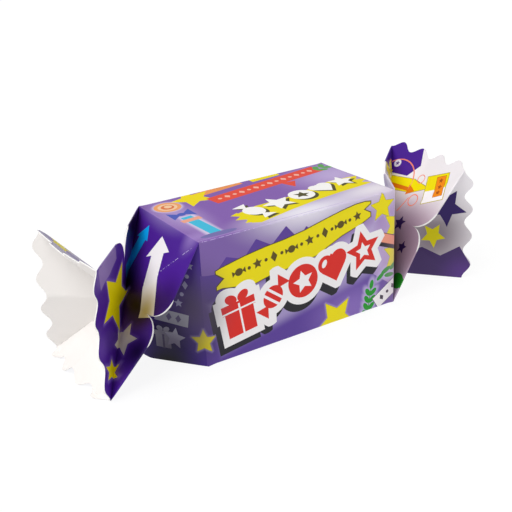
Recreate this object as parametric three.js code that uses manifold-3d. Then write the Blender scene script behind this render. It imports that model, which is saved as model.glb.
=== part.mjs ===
// Gift pack of printed card in the form of a wrapped toffee. A square body is closed at each
// end by a quarter-turn twist fold: the four panels draw in to a waist and open again into a
// funnel with a scalloped mouth. At the waist the spare card stands out as four double fins,
// each with a round notch. The pack is shut, so body and necks are solid. Millimetres, +Z up,
// +X along the pack, the front towards -Y. The origin is under the middle, on the surface that
// the pack lies on.

import * as THREE from 'three';
import { mergeVertices } from 'three/addons/utils/BufferGeometryUtils.js';
import Module from 'manifold-3d';

const wasm = await Module();
wasm.setup();

// Body
const SIDE = 56;
const BODY_LENGTH = 100.6;

// Twist fold: flat length from the body's edge to the waist, and from the waist to the mouth
const TWIST_LENGTH = 36.2;
const NOTCH_RADIUS = 11.2;

// Card
const WALL = 1.2;
const FIN_THICKNESS = 1.6;
const CORE_RADIUS = 3.5;
const LAP = 0.4;
const FINEST_EDGE = 0.02;

// Mouth
const SCALLOPS = 4;
const SCALLOP_DEPTH = 4.2;
const SCALLOP_STEPS = 8;
const ARC_STEPS = 10;

// The flares as they lie, in the order of the corners and panels round the axis. shorten draws
// a mouth corner in towards the body, dent presses the middle of a panel's mouth in, slip pushes
// that middle out along the pack, and the waist's lean and pull move a fin's notch.
const LEFT_FLARE = {
  shorten: [1.4, 2.8, 0, 0],
  dent: [3.3, 2.3, 5.2, 3.3],
  slip: [0.6, 1.2, 2.6, 3.6],
  lean: [-5, 0, 0, 0],
  pull: [-2.4, -1.8, -1, -1],
};
const RIGHT_FLARE = {
  shorten: [1.1, 0, 2.8, 1.6],
  dent: [5, 1.2, 3.3, 3],
  slip: [2, 2.3, 4.1, 1.2],
  lean: [0, -2.5, -6.5, 0],
  pull: [-1, -3.5, -1.8, -1],
};

const HALF_SIDE = SIDE / 2;
const CORNER_RADIUS = SIDE / Math.SQRT2;
const REACH = Math.sqrt(TWIST_LENGTH ** 2 - HALF_SIDE ** 2);
const WAIST = new THREE.Vector3(REACH, 0, 0);
const NOTCH_HEIGHT = HALF_SIDE - NOTCH_RADIUS;

// A point at a distance along the axis from the body's end, at a radius and an angle round it
function around(along, radius, degrees) {
  const angle = THREE.MathUtils.degToRad(degrees);
  return new THREE.Vector3(along, radius * Math.cos(angle), radius * Math.sin(angle));
}

function solid(geometry) {
  geometry.deleteAttribute('normal');
  geometry.deleteAttribute('uv');
  const merged = mergeVertices(geometry, 1e-4);
  return new wasm.Manifold(new wasm.Mesh({
    numProp: 3,
    vertProperties: new Float32Array(merged.attributes.position.array),
    triVerts: new Uint32Array(merged.index.array),
  }));
}

// A flat plate cut to an outline. Three points of its flat pattern are laid on three in space.
function plate(outline, thickness, flat, space) {
  const geometry = new THREE.ExtrudeGeometry(new THREE.Shape(outline), {
    depth: thickness, steps: 1, bevelEnabled: false,
  });
  geometry.translate(0, 0, -thickness / 2);
  const [a, b] = [1, 2].map((i) => flat[i].clone().sub(flat[0]));
  const [p, q] = [1, 2].map((i) => space[i].clone().sub(space[0]));
  const area = a.x * b.y - a.y * b.x;
  const right = p.clone().multiplyScalar(b.y / area).addScaledVector(q, -a.y / area);
  const up = q.clone().multiplyScalar(a.x / area).addScaledVector(p, -b.x / area);
  const normal = new THREE.Vector3().crossVectors(right, up).normalize();
  const origin = space[0].clone().addScaledVector(right, -flat[0].x).addScaledVector(up, -flat[0].y);
  geometry.applyMatrix4(new THREE.Matrix4().makeBasis(right, up, normal).setPosition(origin));
  return solid(geometry);
}

// Half of a fin, flat, with the waist at the origin and the ridge along the top. It runs from
// the waist to a corner, along the ridge, and round the quarter circle of the notch. Each half
// of a fin or a panel laps a little over the other.
function finOutline() {
  const outline = [new THREE.Vector2(-LAP, 0), new THREE.Vector2(0, 0),
    new THREE.Vector2(TWIST_LENGTH, HALF_SIDE)];
  for (let i = 0; i <= ARC_STEPS; i++) {
    const angle = Math.PI / 2 * (1 + i / ARC_STEPS);
    outline.push(new THREE.Vector2(
      NOTCH_RADIUS + NOTCH_RADIUS * Math.cos(angle),
      NOTCH_HEIGHT + NOTCH_RADIUS * Math.sin(angle),
    ));
  }
  outline.push(new THREE.Vector2(-LAP, NOTCH_HEIGHT));
  return outline;
}

// Half of a flare's panel, flat, with the waist at the origin and the mouth at the top
function flareOutline() {
  const outline = [new THREE.Vector2(-LAP, 0), new THREE.Vector2(0, 0),
    new THREE.Vector2(HALF_SIDE, TWIST_LENGTH)];
  const steps = SCALLOPS / 2 * SCALLOP_STEPS;
  for (let i = 1; i <= steps; i++) {
    const wave = (1 - Math.cos(2 * Math.PI * i / SCALLOP_STEPS)) / 2;
    outline.push(new THREE.Vector2(
      HALF_SIDE * (1 - i / steps),
      TWIST_LENGTH + SCALLOP_DEPTH * wave,
    ));
  }
  outline.push(new THREE.Vector2(-LAP, TWIST_LENGTH));
  return outline;
}

// The crushed card at the heart of the waist
function core() {
  return solid(new THREE.SphereGeometry(CORE_RADIUS, 12, 8).translate(REACH, 0, 0));
}

// Where a body corner is, and the mouth corner that its ridge leads to, a quarter turn on
const bodyCorner = (i) => around(0, CORNER_RADIUS, 45 + 90 * i);
const mouthCorner = (flare, i) => around(2 * REACH - flare.shorten[i], CORNER_RADIUS, 90 * i - 45);

// A fin's two halves, one on the neck's side and one on the flare's, meeting at its notch
function fin(flare, i) {
  const notch = around(REACH + flare.pull[i], NOTCH_HEIGHT, 90 * i + flare.lean[i]);
  const flat = [new THREE.Vector2(), new THREE.Vector2(TWIST_LENGTH, HALF_SIDE),
    new THREE.Vector2(0, NOTCH_HEIGHT)];
  return [bodyCorner(i), mouthCorner(flare, i)].map((corner) => (
    plate(finOutline(), FIN_THICKNESS, flat, [WAIST, corner, notch])
  ));
}

// A flare's panel, creased down its middle, between two mouth corners
function flarePanel(flare, i) {
  const corners = [mouthCorner(flare, i), mouthCorner(flare, (i + 1) % 4)];
  const middle = corners[0].clone().add(corners[1]).multiplyScalar(0.5);
  const inward = around(0, -1, 90 * i);
  middle.addScaledVector(inward, flare.dent[i]);
  middle.x += flare.slip[i];
  const flat = [new THREE.Vector2(), new THREE.Vector2(HALF_SIDE, TWIST_LENGTH),
    new THREE.Vector2(0, TWIST_LENGTH)];
  return corners.map((corner) => (
    plate(flareOutline(), WALL, flat, [WAIST, corner, middle])
  ));
}

// One end of the pack in a frame of its own, with +X pointing away from the body
function end(flare, turn) {
  const pieces = [core()];
  for (let i = 0; i < 4; i++) {
    pieces.push(...fin(flare, i), ...flarePanel(flare, i));
  }
  const face = BODY_LENGTH / 2 * Math.cos(THREE.MathUtils.degToRad(turn));
  return pieces.map((piece) => piece.rotate([0, 0, turn]).translate([face, 0, HALF_SIDE]));
}

// The body and its two necks, turned as one four-sided solid, because the shut pack can't be
// seen into
function body() {
  const profile = [
    new THREE.Vector2(0, -BODY_LENGTH / 2 - REACH),
    new THREE.Vector2(CORNER_RADIUS, -BODY_LENGTH / 2),
    new THREE.Vector2(CORNER_RADIUS, BODY_LENGTH / 2),
    new THREE.Vector2(0, BODY_LENGTH / 2 + REACH),
  ];
  const geometry = new THREE.LatheGeometry(profile, 4);
  geometry.rotateY(Math.PI / 4);
  geometry.rotateZ(-Math.PI / 2);
  geometry.translate(0, 0, HALF_SIDE);
  return solid(geometry);
}

// The join of all pieces, with what it leaves where several plates end in one point cleaned
// off: edges too short to matter are merged, and pockets sealed between two plates are filled
function fused(pieces) {
  const whole = pieces.reduce((joined, piece) => joined.add(piece));
  const shells = whole.asOriginal().simplify(FINEST_EDGE).decompose();
  return shells.reduce((most, shell) => (shell.volume() > most.volume() ? shell : most));
}

// The bottom panel's scallops are pressed flat on the surface that the pack lies on
function carton() {
  const room = 8 * SIDE;
  const aboveFloor = solid(new THREE.BoxGeometry(room, room, room).translate(0, 0, room / 2));
  const pieces = [body(), ...end(LEFT_FLARE, 180), ...end(RIGHT_FLARE, 0)];
  const mesh = fused(pieces.map((piece) => piece.intersect(aboveFloor))).getMesh();
  const geometry = new THREE.BufferGeometry();
  geometry.setAttribute('position', new THREE.BufferAttribute(mesh.vertProperties, 3));
  geometry.setIndex(new THREE.BufferAttribute(mesh.triVerts, 1));
  geometry.computeVertexNormals();
  const card = new THREE.Mesh(geometry, new THREE.MeshStandardMaterial({
    color: 0x6a4aa6, roughness: 0.35, metalness: 0,
  }));
  card.name = 'carton';
  return card;
}

const group = new THREE.Group();
group.add(carton());

export default group;
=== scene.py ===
"""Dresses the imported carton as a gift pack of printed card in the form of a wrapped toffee.

The pack is one folded blank. Four panels run from end to end. Past the body each panel is
creased twice across, corner to corner, and a quarter-turn twist draws the panels in to a waist
and opens them again into a funnel. The spare card stands out at the waist as four double fins.
Lengths are in millimetres and angles in degrees, where nothing else is said.
"""

import logging
import math
from dataclasses import dataclass, field, replace
from enum import Enum
from typing import ClassVar

import bpy
from mathutils import Matrix, Vector


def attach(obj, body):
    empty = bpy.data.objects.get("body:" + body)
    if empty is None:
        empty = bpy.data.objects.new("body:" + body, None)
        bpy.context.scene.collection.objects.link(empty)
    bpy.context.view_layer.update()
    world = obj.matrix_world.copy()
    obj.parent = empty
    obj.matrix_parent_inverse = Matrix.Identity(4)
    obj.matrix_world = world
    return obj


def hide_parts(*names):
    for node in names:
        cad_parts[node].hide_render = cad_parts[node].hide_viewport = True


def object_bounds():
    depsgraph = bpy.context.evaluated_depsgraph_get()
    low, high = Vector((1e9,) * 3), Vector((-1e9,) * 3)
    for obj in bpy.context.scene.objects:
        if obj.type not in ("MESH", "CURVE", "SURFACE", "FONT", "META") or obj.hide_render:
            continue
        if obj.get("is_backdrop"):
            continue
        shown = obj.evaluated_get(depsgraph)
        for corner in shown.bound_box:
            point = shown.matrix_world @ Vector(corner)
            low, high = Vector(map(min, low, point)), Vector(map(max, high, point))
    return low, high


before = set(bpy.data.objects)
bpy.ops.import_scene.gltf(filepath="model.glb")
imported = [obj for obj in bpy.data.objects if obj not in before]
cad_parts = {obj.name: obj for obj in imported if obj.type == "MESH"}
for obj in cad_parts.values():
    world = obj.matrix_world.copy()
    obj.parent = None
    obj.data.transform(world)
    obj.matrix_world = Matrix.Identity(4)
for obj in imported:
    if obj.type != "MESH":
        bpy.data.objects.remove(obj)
CAD_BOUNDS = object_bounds()

MM = 0.001
PANELS = 4
BLANK_MAP = "blank"
log = logging.getLogger("toffee_pack")

# How near a point counts as on a crease, and as at an edge
ON_CREASE = 1e-9
AT_EDGE = 1e-6

# A point of a flat pattern, and a vertex: its place in the pack's frame and on the blank
Flat = tuple[float, float]
Knot = tuple[Vector, Flat]

# A part of the blank: its first and last place along it, and its first and last place across
Window = tuple[float, float, float, float]


@dataclass(frozen=True)
class Blank:
    """The flat blank's sizes, as the CAD has them, and the board's own thickness."""

    side: float = 56.0
    body_length: float = 100.6
    twist: float = 36.2
    notch_radius: float = 11.2
    scallops: int = 4
    scallop_depth: float = 4.2
    board: float = 0.45

    @property
    def half(self) -> float:
        """Half of the body's side."""
        return self.side / 2

    @property
    def reach(self) -> float:
        """Distance along the pack from the body's end to the waist, once folded."""
        return math.sqrt(self.twist**2 - self.half**2)

    @property
    def notch_height(self) -> float:
        """Distance from the middle of the waist to the bottom of a notch."""
        return self.half - self.notch_radius


@dataclass(frozen=True)
class Lie:
    """How one end's card happens to lie, by corner or panel round the axis.

    shorten draws a mouth corner in towards the body, dent presses the middle of a panel's mouth
    in, slip pushes it out along the pack, and lean and pull move a fin's notch. soft is how far
    the bend between body and neck reaches on either side.
    """

    shorten: tuple[float, ...]
    dent: tuple[float, ...]
    slip: tuple[float, ...]
    lean: tuple[float, ...]
    pull: tuple[float, ...]
    soft: tuple[float, ...]


class Zone(Enum):
    """The three stretches of a strip, in their order along the blank."""

    LEFT_FOLD = 0
    BODY = 1
    RIGHT_FOLD = 2


class Slot:
    """Where the carton's materials stand in its list."""

    INSIDE = PANELS * len(Zone)
    CUT = INSIDE + 1

    @staticmethod
    def printed(strip: int, zone: Zone) -> int:
        """The place of the material of one strip's zone."""
        return len(Zone) * strip + zone.value


class Side(Enum):
    """The two ends of the pack, by the sign of their X."""

    LEFT = -1
    RIGHT = 1

    @property
    def zone(self) -> Zone:
        """The end's zone of each strip."""
        return Zone.LEFT_FOLD if self is Side.LEFT else Zone.RIGHT_FOLD


def around(along: float, radius: float, degrees: float) -> Vector:
    """A point at a distance along the pack's axis, and at a radius and an angle round it."""
    angle = math.radians(degrees)
    return Vector((along, radius * math.cos(angle), radius * math.sin(angle)))


def facing(normal: Vector, way: Vector) -> Vector:
    """A normal, turned over where it points against a direction."""
    return normal if normal.dot(way) > 0 else -normal


def laid(flat: Flat, p: tuple[Flat, Vector], q: tuple[Flat, Vector]) -> Vector:
    """Lays a flat point on the plane that two flat directions are folded to.

    Args:
        flat: the point in the flat pattern, counted from the shared corner.
        p: a flat direction and the direction in space that it is folded to.
        q: a second such pair.

    Returns:
        The point in space, counted from the shared corner.
    """
    (px, py), p_space = p
    (qx, qy), q_space = q
    area = px * qy - py * qx
    along_p = (flat[0] * qy - flat[1] * qx) / area
    along_q = (px * flat[1] - py * flat[0]) / area
    return p_space * along_p + q_space * along_q


def smooth_step(value: float) -> float:
    """Rises from 0 to 1 with level ends as value goes from 0 to 1."""
    t = min(max(value, 0.0), 1.0)
    return t * t * (3 - 2 * t)


def bend_sag(distance: float, reach: float, half_turn: float) -> float:
    """How far a bend of the given reach cuts its own corner, this far from the crease."""
    return max(0.0, reach - distance) ** 2 / (2 * reach) * math.tan(half_turn)


@dataclass(frozen=True)
class TwistEnd:
    """One end of the pack, folded in a frame of its own with +X away from the body.

    puff is half of a fin's thickness, and grows over crease_fade from the fin's creases.
    notch_blend is how far from the notch the fin's two halves turn into each other. hub_push
    keeps the panels apart where they meet in the waist, as far out as hub_reach, and sheet_gap
    where they lie along each other. corner_power says how late the bend at the body's end dies
    out towards the corners.
    """

    side: Side
    blank: Blank
    lie: Lie
    puff: float = 0.45
    crease_fade: float = 2.2
    notch_blend: float = 2.0
    hub_push: float = 0.8
    hub_reach: float = 7.0
    sheet_gap: float = 0.012
    corner_power: int = 6

    @property
    def waist(self) -> Vector:
        """The middle of the waist."""
        return Vector((self.blank.reach, 0.0, 0.0))

    def corner(self, i: int) -> Vector:
        """Corner i of the body's end."""
        return around(0.0, self.blank.half * math.sqrt(2), 45 + 90 * i)

    def mouth_corner(self, i: int) -> Vector:
        """The mouth corner that the ridge from corner i leads to, a quarter turn on."""
        along = 2 * self.blank.reach - self.lie.shorten[i % PANELS]
        return around(along, self.blank.half * math.sqrt(2), 90 * i - 45)

    def mouth_middle(self, i: int) -> Vector:
        """The middle of the mouth's edge of panel i, with its dent."""
        middle = (self.mouth_corner(i) + self.mouth_corner(i + 1)) / 2
        return middle + around(self.lie.slip[i], -self.lie.dent[i], 90 * i)

    def notch(self, i: int) -> Vector:
        """The bottom of the notch of fin i."""
        along = self.blank.reach + self.lie.pull[i % PANELS]
        return around(along, self.blank.notch_height, 90 * i + self.lie.lean[i % PANELS])

    def fin_normals(self, i: int) -> tuple[Vector, Vector]:
        """Normals of fin i's two halves, on the side that panel i prints.

        Args:
            i: the fin, counted as its corner is.

        Returns:
            The normal of the half on the neck and that of the half on the flare.
        """
        waist = self.waist
        to_notch = self.notch(i) - waist
        neck = (self.corner(i) - waist).cross(to_notch).normalized()
        flare = (self.mouth_corner(i) - waist).cross(to_notch).normalized()
        panel = (self.corner(i + 1) - waist).cross(self.corner(i) - waist)
        neck = facing(neck, facing(panel, around(0.0, 1.0, 90 * i + 90)))
        return neck, facing(flare, neck)

    def hinge_sag(self, i: int, across: float, distance: float) -> Vector:
        """The shift of a point near the bend between body and neck of panel i.

        Args:
            i: the panel, counted round the axis.
            across: the place across the panel, from its middle.
            distance: how far the point lies from the crease.

        Returns:
            The shift in the end's own frame.
        """
        half_turn = math.atan2(self.blank.half, self.blank.reach) / 2
        inward = around(-math.sin(half_turn), -math.cos(half_turn), 90 * i + 90)
        fade = 1 - abs(across / self.blank.half) ** self.corner_power
        return inward * (bend_sag(distance, self.lie.soft[i], half_turn) * fade)

    def thickness(self, flat: Flat) -> float:
        """Half the thickness of a fin: round at its ridge, and pinched at its creases.

        Args:
            flat: the point, counted from the middle of the waist.

        Returns:
            The distance from the fin's middle to its printed face.
        """
        blank = self.blank
        bulge = min(1.0, (blank.half - abs(flat[0])) / self.puff)
        slant = math.hypot(blank.half, blank.twist)
        from_crease = (abs(flat[0]) * blank.twist - abs(flat[1]) * blank.half) / slant
        rounding = math.sqrt(max(0.0, 1 - (1 - bulge) ** 2))
        return self.puff * rounding * smooth_step(from_crease / self.crease_fade)

    def fin(self, i: int, flat: Flat) -> Vector:
        """Folds a point that lies on one of the two fins that panel i has a layer of.

        Args:
            i: the panel, counted round the axis.
            flat: the point, counted from the middle of the waist.

        Returns:
            The place of the printed face in the end's own frame.
        """
        blank, waist = self.blank, self.waist
        k, sign = (i, -1) if flat[0] < 0 else (i + 1, 1)
        ridge_end, along = self.mouth_corner(k), blank.twist
        if flat[1] < 0:
            ridge_end, along = self.corner(k), -blank.twist
        p = ((sign * blank.half, along), ridge_end - waist)
        q = ((sign * blank.notch_height, 0.0), self.notch(k) - waist)
        neck, flare = self.fin_normals(k)
        blend = smooth_step((flat[1] + self.notch_blend) / (2 * self.notch_blend))
        normal = neck.lerp(flare, blend).normalized()
        return waist + laid(flat, p, q) - normal * (sign * self.thickness(flat))

    def skin(self, i: int, spot: Flat) -> Vector:
        """Folds a point of panel i's flat pattern.

        Args:
            i: the panel, counted round the axis.
            spot: the place across the panel, from its middle, and the distance from the body.

        Returns:
            The place of the printed face in the end's own frame.
        """
        blank, waist = self.blank, self.waist
        across, out = spot
        flat = (across, out - blank.twist)
        if abs(across) > blank.half / blank.twist * abs(flat[1]) + ON_CREASE:
            place = self.fin(i, flat)
        elif out <= blank.twist:
            p = ((-blank.half, -blank.twist), self.corner(i) - waist)
            q = ((blank.half, -blank.twist), self.corner(i + 1) - waist)
            place = waist + laid(flat, p, q) + self.hinge_sag(i, across, out)
        else:
            k, sign = (i, -1) if across < 0 else (i + 1, 1)
            p = ((sign * blank.half, blank.twist), self.mouth_corner(k) - waist)
            q = ((0.0, blank.twist), self.mouth_middle(i) - waist)
            place = waist + laid(flat, p, q)
        push = max(0.0, 1 - math.hypot(*flat) / self.hub_reach)
        place = place + around(0.0, self.hub_push * push**2, 90 * i + 45)
        gap = self.sheet_gap * min(1.0, out, blank.half - abs(across))
        return place + around(0.0, gap, 90 * i + (90 if out < blank.twist else 0))

    def half_normal(self, i: int, right: bool) -> Vector:
        """Normal of one half of flare panel i, pointing into the funnel.

        Args:
            i: the panel, counted round the axis.
            right: whether it is the half towards the next panel.

        Returns:
            The normal, one unit long.
        """
        corner = self.mouth_corner(i + 1 if right else i)
        face = (corner - self.waist).cross(self.mouth_middle(i) - self.waist).normalized()
        return facing(face, around(0.0, -1.0, 90 * i))

    def lining(self, i: int, spot: Flat) -> Vector:
        """Folds a point of a flare's unprinted face, one board's thickness inside the printed.

        Args:
            i: the panel, counted round the axis.
            spot: the place across the panel, from its middle, and the distance from the body.

        Returns:
            The place of the unprinted face in the end's own frame.
        """
        blank = self.blank
        across, out = spot
        if out - blank.twist < AT_EDGE:
            return self.waist + Vector((2 * blank.board, 0.0, 0.0))
        right = across > 0
        normal = other = self.half_normal(i, right)
        if abs(across) > blank.half / blank.twist * (out - blank.twist) - AT_EDGE:
            other = self.half_normal((i + 1 if right else i - 1) % PANELS, not right)
        elif abs(across) < AT_EDGE:
            other = self.half_normal(i, not right)
        shift = (normal + other) * (blank.board / (1 + normal.dot(other)))
        return self.skin(i, spot) + shift

    def to_world(self, place: Vector, lift: float = 0.0) -> Vector:
        """Moves a place to the pack's frame and presses what is too low flat on the floor.

        Args:
            place: a place in the end's own frame.
            lift: how far above the floor this face of the board stays.

        Returns:
            The place in the pack's frame.
        """
        s, blank = self.side.value, self.blank
        x, y, z = s * (blank.body_length / 2 + place.x), s * place.y, place.z + blank.half
        if z < lift:
            lean = math.atan2(blank.half, blank.reach)
            x += s * (lift - z) * math.tan(lean / 2)
            z = lift
        return Vector((x, y, z))

    def strip(self, i: int) -> int:
        """Which strip of the blank panel i is: top, front, bottom or back. It works back too."""
        return i if self.side is Side.RIGHT else -i % PANELS

    def on_blank(self, i: int, spot: Flat) -> Flat:
        """Where a point of panel i was on the flat blank."""
        s, middle = self.side.value, self.blank.side * (self.strip(i) + 0.5)
        return s * (self.blank.body_length / 2 + spot[1]), middle + s * spot[0]

    def outer(self, i: int, spot: Flat) -> Knot:
        """A vertex of the printed face."""
        return self.to_world(self.skin(i, spot)), self.on_blank(i, spot)

    def inner(self, i: int, spot: Flat) -> Knot:
        """A vertex of the unprinted face."""
        return self.to_world(self.lining(i, spot), self.blank.board), self.on_blank(i, spot)


def stations(length: float, fine: tuple[float, ...], count: int) -> list[float]:
    """Places along a length, close together at both ends and even between them.

    Args:
        length: the whole length.
        fine: distances from either end of the close places, from 0 up.
        count: how many even steps the rest has.

    Returns:
        The places in rising order.
    """
    first, last = fine[-1], length - fine[-1]
    middle = [first + (last - first) * n / count for n in range(1, count)]
    return [*fine, *middle, *(length - f for f in reversed(fine))]


@dataclass
class Carton:
    """The folded carton: its printed skin, its lining in the flares and its cut edges.

    edge_round is how far the bend along a long edge of the body reaches, and edge_fade how far
    from the body's ends it is whole. The fine places lie close together at bends and edges, and
    the counts are of the even steps and rings between them. weld is in metres.
    """

    blank: Blank
    ends: tuple[TwistEnd, TwistEnd]
    materials: list[bpy.types.Material]
    edge_round: float = 0.7
    edge_fade: float = 4.0
    edge_fine: tuple[float, ...] = (0.0, 0.15, 0.35, 0.7, 1.5)
    hinge_fine: tuple[float, ...] = (0.0, 0.4, 0.8, 1.3, 1.9, 2.6, 4.0)
    outline_fine: tuple[float, ...] = (0.0, 0.05, 0.14, 0.28, 0.45, 0.8, 1.3, 1.9, 2.6, 4.0)
    body_steps: int = 24
    across_steps: int = 10
    ridge_steps: int = 9
    arc_steps: int = 12
    scallop_steps: int = 12
    inner_rings: int = 9
    lining_rings: int = 14
    weld: float = 2e-6
    smooth_angle: float = 24.0
    parts: list[bpy.types.Object] = field(default_factory=list)

    def add_grid(self, name: str, columns: list[list[Knot]], slot: int) -> None:
        """Adds a grid and shapes it by its columns and rows.

        Args:
            name: the name of the part.
            columns: the vertices, column by column.
            slot: which material it shows.
        """
        last_column, last_row = len(columns) - 1, len(columns[0]) - 1
        bpy.ops.mesh.primitive_grid_add(
            x_subdivisions=last_column, y_subdivisions=last_row, size=2.0, location=(0, 0, 0)
        )
        part = bpy.context.object
        part.name = name
        mesh = part.data
        knots = [
            columns[round((v.co.x + 1) / 2 * last_column)][round((v.co.y + 1) / 2 * last_row)]
            for v in mesh.vertices
        ]
        for vertex, (place, _) in zip(mesh.vertices, knots):
            vertex.co = place * MM
        mesh.uv_layers[0].name = BLANK_MAP
        for loop, corner in zip(mesh.loops, mesh.uv_layers[0].data):
            corner.uv = knots[loop.vertex_index][1]
        for polygon in mesh.polygons:
            polygon.material_index = slot
        for material in self.materials:
            mesh.materials.append(material)
        self.parts.append(part)

    def body_knot(self, strip: int, along: float, across: float) -> Knot:
        """A vertex of the body, with its long edges and its ends rounded.

        Args:
            strip: the strip of the blank that it is on.
            along: its distance from the body's left end.
            across: its distance from the strip's first edge.

        Returns:
            Its place in the pack's frame and on the blank.
        """
        blank = self.blank
        x, v = along - blank.body_length / 2, across - blank.half
        outward, onward = (around(0.0, 1.0, 90 * (strip + n)) for n in (1, 2))
        place = Vector((x, 0, blank.half)) + outward * blank.half + onward * v
        to_end = min(along, blank.body_length - along)
        sag = bend_sag(blank.half - abs(v), self.edge_round, math.pi / 4)
        sag *= smooth_step(to_end / self.edge_fade)
        place -= (outward + onward * math.copysign(1, v)).normalized() * sag
        end = self.ends[0] if x < 0 else self.ends[1]
        s, shift = end.side.value, end.hinge_sag(end.strip(strip), v, to_end)
        return place + Vector((s * shift.x, s * shift.y, shift.z)), (x, strip * blank.side + across)

    def body_panel(self, strip: int) -> None:
        """Adds one panel of the body.

        Args:
            strip: the strip of the blank that it is.
        """
        blank = self.blank
        across = stations(blank.side, self.edge_fine, self.across_steps)
        columns = [
            [self.body_knot(strip, a, b) for b in across]
            for a in stations(blank.body_length, self.hinge_fine, self.body_steps)
        ]
        self.add_grid(f"body_{strip}", columns, Slot.printed(strip, Zone.BODY))

    def fin_edge(self) -> list[Flat]:
        """Half of a fin's edge in the flat, from a corner along the ridge and into the notch.

        Returns:
            The points after the corner, the last ones on the notch's quarter circle.
        """
        blank = self.blank
        straight = blank.twist - blank.notch_radius
        points = [(blank.half, straight * n / self.ridge_steps) for n in range(1, self.ridge_steps)]
        for n in range(self.arc_steps + 1):
            angle = math.pi / 2 * n / self.arc_steps
            points.append((
                blank.notch_height + blank.notch_radius * math.cos(angle),
                straight + blank.notch_radius * math.sin(angle),
            ))
        return points

    def with_mirror(self, half: list[Flat]) -> list[Flat]:
        """Half of a fin's edge with its other half, past the bottom of the notch."""
        return half + [(a, 2 * self.blank.twist - b) for a, b in reversed(half[:-1])]

    def mouth_edge(self) -> list[Flat]:
        """The scalloped edge of a panel's mouth in the flat.

        Returns:
            The points from one corner to the other.
        """
        blank = self.blank
        steps = blank.scallops * self.scallop_steps
        points = []
        for n in range(steps + 1):
            wave = (1 - math.cos(2 * math.pi * n / self.scallop_steps)) / 2
            points.append((
                blank.half - blank.side * n / steps,
                2 * blank.twist + blank.scallop_depth * wave,
            ))
        return points

    def outline(self) -> list[Flat]:
        """A panel's end zone in the flat.

        Returns:
            The points once round, from the body's edge and back to it.
        """
        across = stations(self.blank.side, self.edge_fine, self.across_steps)
        base = [(v - self.blank.half, 0.0) for v in across]
        up = self.with_mirror(self.fin_edge())
        down = [(-a, b) for a, b in reversed(up)]
        return base + up + self.mouth_edge() + down + [base[0]]

    def spoke(self, edge: Flat) -> list[Flat]:
        """Points on the line from the middle of the waist to a point of the outline.

        Args:
            edge: the point of the outline.

        Returns:
            The points, ring by ring outwards.
        """
        twist = self.blank.twist
        da, db = edge[0], edge[1] - twist
        length = math.hypot(da, db)
        rings = [length - f for f in reversed(self.outline_fine)]
        inner = [rings[0] * n / self.inner_rings for n in range(self.inner_rings)]
        shares = [ring / length for ring in inner + rings]
        return [(da * share, twist + db * share) for share in shares]

    def end_panel(self, end: TwistEnd, i: int) -> None:
        """Adds the twist fold of one panel: neck, two fin layers and flare, in one fan.

        Args:
            end: the end of the pack.
            i: the panel, counted round the axis.
        """
        columns = [[end.outer(i, spot) for spot in self.spoke(edge)] for edge in self.outline()]
        slot = Slot.printed(end.strip(i), end.side.zone)
        self.add_grid(f"{end.side.name.lower()}_fold_{i}", columns, slot)

    def flare_lining(self, end: TwistEnd, i: int) -> None:
        """Adds the unprinted inner face of one flare panel, and the cut edge of its mouth.

        Args:
            end: the end of the pack.
            i: the panel, counted round the axis.
        """
        name, rings, twist = end.side.name.lower(), self.lining_rings, self.blank.twist
        edge = self.mouth_edge()
        lining = [
            [end.inner(i, (a * r / rings, twist + (b - twist) * r / rings)) for r in range(rings + 1)]
            for a, b in edge
        ]
        rim = [[end.outer(i, spot), column[-1]] for spot, column in zip(edge, lining)]
        self.add_grid(f"{name}_lining_{i}", lining, Slot.INSIDE)
        self.add_grid(f"{name}_rim_{i}", rim, Slot.CUT)

    def fin_cut(self, end: TwistEnd, i: int) -> None:
        """Adds the cut edge round the notch of fin i, between its two layers.

        Args:
            end: the end of the pack.
            i: the fin, counted as its corner is.
        """
        columns = []
        for a, b in self.with_mirror(self.fin_edge()[-self.arc_steps - 1:]):
            near, far = end.outer(i, (-a, b)), end.outer((i - 1) % PANELS, (a, b))
            columns.append([(far[0], near[1]), near])
        self.add_grid(f"{end.side.name.lower()}_notch_{i}", columns, Slot.CUT)

    def build(self) -> bpy.types.Object:
        """Builds every part, joins them into one closed mesh and smooths its faces.

        Returns:
            The carton, dressed in all its materials.
        """
        for strip in range(PANELS):
            self.body_panel(strip)
        for end in self.ends:
            for i in range(PANELS):
                self.end_panel(end, i)
                self.flare_lining(end, i)
                self.fin_cut(end, i)
        bpy.ops.object.select_all(action="DESELECT")
        for part in self.parts:
            part.select_set(True)
        bpy.context.view_layer.objects.active = self.parts[0]
        bpy.ops.object.join()
        whole = bpy.context.object
        whole.name = whole.data.name = "printed_carton"
        bpy.ops.object.mode_set(mode="EDIT")
        bpy.ops.mesh.select_all(action="SELECT")
        bpy.ops.mesh.remove_doubles(threshold=self.weld)
        bpy.ops.mesh.normals_make_consistent(inside=False)
        bpy.ops.object.mode_set(mode="OBJECT")
        bpy.ops.object.shade_smooth_by_angle(angle=math.radians(self.smooth_angle))
        return whole


def linear(hex_colour: str) -> tuple[float, float, float, float]:
    """Turns an sRGB hex colour such as "#4B1F9B" to linear light.

    Args:
        hex_colour: the colour as # and six hex digits.

    Returns:
        Red, green, blue and an alpha of 1.
    """
    values = [int(hex_colour[n : n + 2], 16) / 255 for n in (1, 3, 5)]
    values = [v / 12.92 if v <= 0.04045 else ((v + 0.055) / 1.055) ** 2.4 for v in values]
    return (*values, 1.0)


class Form(Enum):
    """The plain forms that every printed motif is put together from."""

    DISC = "disc"
    BOX = "box"
    RAYS = "rays"


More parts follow.
